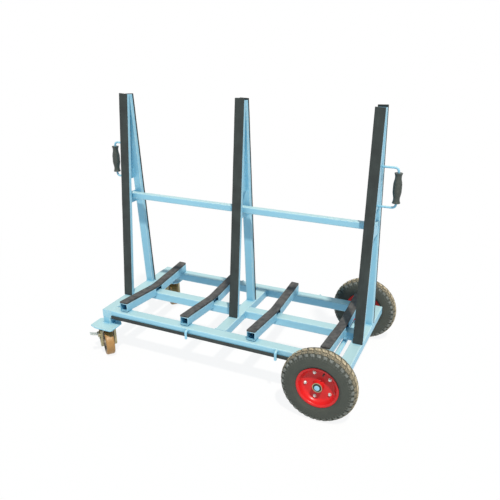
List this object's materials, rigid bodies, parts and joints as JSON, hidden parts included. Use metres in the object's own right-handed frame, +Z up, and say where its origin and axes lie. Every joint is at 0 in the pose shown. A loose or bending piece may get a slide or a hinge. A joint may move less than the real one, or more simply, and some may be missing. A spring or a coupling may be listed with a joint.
{
  "type": "sheet goods cart",
  "caption": "A-frame cart for sheet goods: leaning rubber-faced racks and V-shaped bed bars on a low tube base, with large pneumatic wheels at one end and braked swivel casters at the other.",
  "frame": {"origin": "centre of the cart's footprint, on the floor", "axes": "+X along the cart towards the large wheels, +Y across it towards its rear side, +Z up"},
  "size_m": [1.7476, 1.0302, 1.515],
  "materials": {
    "blue_enamel": "gloss",
    "black_rubber": "matte",
    "bed_rubber": "matte",
    "tyre_rubber": "matte",
    "red_enamel": "gloss",
    "bright_steel": "satin",
    "zinc_steel": "satin",
    "urethane": "satin",
    "cast_core": "matte",
    "grip_plastic": "matte"
  },
  "bodies": {
    "frame": {"left_end_crossmember": "blue_enamel", "right_end_crossmember": "blue_enamel", "centre_crossmember": "blue_enamel", "front_rail": "blue_enamel", "rear_rail": "blue_enamel", "centre_rail_left": "blue_enamel", "centre_rail_right": "blue_enamel", "front_bumper": "black_rubber", "rear_bumper": "black_rubber", "front_left_hook": "blue_enamel", "front_right_hook": "blue_enamel", "rear_left_hook": "blue_enamel", "rear_right_hook": "blue_enamel", "left_rack_front_leg": "blue_enamel", "left_rack_front_strip": "black_rubber", "left_rack_rear_leg": "blue_enamel", "left_rack_rear_strip": "black_rubber", "left_rack_web": "blue_enamel", "centre_rack_front_leg": "blue_enamel", "centre_rack_front_strip": "black_rubber", "centre_rack_rear_leg": "blue_enamel", "centre_rack_rear_strip": "black_rubber", "centre_rack_web": "blue_enamel", "right_rack_front_leg": "blue_enamel", "right_rack_front_strip": "black_rubber", "right_rack_rear_leg": "blue_enamel", "right_rack_rear_strip": "black_rubber", "right_rack_web": "blue_enamel", "mid_rail": "blue_enamel", "bed_bar_1": "blue_enamel", "bed_bar_1_strip": "bed_rubber", "bed_bar_2": "blue_enamel", "bed_bar_2_strip": "bed_rubber", "bed_bar_3": "blue_enamel", "bed_bar_3_strip": "bed_rubber", "bed_bar_4": "blue_enamel", "bed_bar_4_strip": "bed_rubber", "left_handle_rod": "blue_enamel", "right_handle_rod": "blue_enamel", "front_axle_bracket": "blue_enamel", "rear_axle_bracket": "blue_enamel", "axle": "blue_enamel", "front_caster_mount": "blue_enamel", "front_caster_plate": "zinc_steel", "rear_caster_mount": "blue_enamel", "rear_caster_plate": "zinc_steel"},
    "front_caster_swivel": {"front_caster_fork": "zinc_steel"},
    "front_caster_wheel": {"front_caster_tread": "urethane", "front_caster_core": "cast_core"},
    "front_caster_brake": {"front_caster_pedal": "bright_steel"},
    "front_wheel": {"front_wheel_tyre": "tyre_rubber", "front_wheel_rim": "red_enamel"},
    "rear_caster_swivel": {"rear_caster_fork": "zinc_steel"},
    "rear_caster_wheel": {"rear_caster_tread": "urethane", "rear_caster_core": "cast_core"},
    "rear_caster_brake": {"rear_caster_pedal": "bright_steel"},
    "rear_wheel": {"rear_wheel_tyre": "tyre_rubber", "rear_wheel_rim": "red_enamel"},
    "left_grip": {"left_handle_grip": "grip_plastic"},
    "right_grip": {"right_handle_grip": "grip_plastic"}
  },
  "joints": [
    {"name": "front_caster_swivel", "type": "hinge", "parent": "frame", "child": "front_caster_swivel", "pos_m": [-0.74, -0.3735, 0.1725], "axis": [0, 0, 1], "continuous": true},
    {"name": "front_caster_roll", "type": "hinge", "parent": "front_caster_swivel", "child": "front_caster_wheel", "pos_m": [-0.72514, -0.38688, 0.075], "axis": [0.6691, 0.7431, 0], "continuous": true},
    {"name": "front_brake_press", "type": "hinge", "parent": "front_caster_swivel", "child": "front_caster_brake", "pos_m": [-0.77051, -0.41735, 0.133], "axis": [0.7431, -0.6691, 0], "range_deg": [0, 15]},
    {"name": "front_wheel_roll", "type": "hinge", "parent": "frame", "child": "front_wheel", "pos_m": [0.638, -0.467, 0.2], "axis": [0, 1, 0], "continuous": true},
    {"name": "rear_caster_swivel", "type": "hinge", "parent": "frame", "child": "rear_caster_swivel", "pos_m": [-0.74, 0.3735, 0.1725], "axis": [0, 0, 1], "continuous": true},
    {"name": "rear_caster_roll", "type": "hinge", "parent": "rear_caster_swivel", "child": "rear_caster_wheel", "pos_m": [-0.72514, 0.36012, 0.075], "axis": [0.6691, 0.7431, 0], "continuous": true},
    {"name": "rear_brake_press", "type": "hinge", "parent": "rear_caster_swivel", "child": "rear_caster_brake", "pos_m": [-0.77051, 0.32965, 0.133], "axis": [0.7431, -0.6691, 0], "range_deg": [0, 15]},
    {"name": "rear_wheel_roll", "type": "hinge", "parent": "frame", "child": "rear_wheel", "pos_m": [0.638, 0.467, 0.2], "axis": [0, 1, 0], "continuous": true},
    {"name": "left_grip_turn", "type": "hinge", "parent": "frame", "child": "left_grip", "pos_m": [-0.852, 0, 1.1195], "axis": [0, 0, 1], "continuous": true},
    {"name": "right_grip_turn", "type": "hinge", "parent": "frame", "child": "right_grip", "pos_m": [0.852, 0, 1.1195], "axis": [0, 0, 1], "continuous": true}
  ]
}
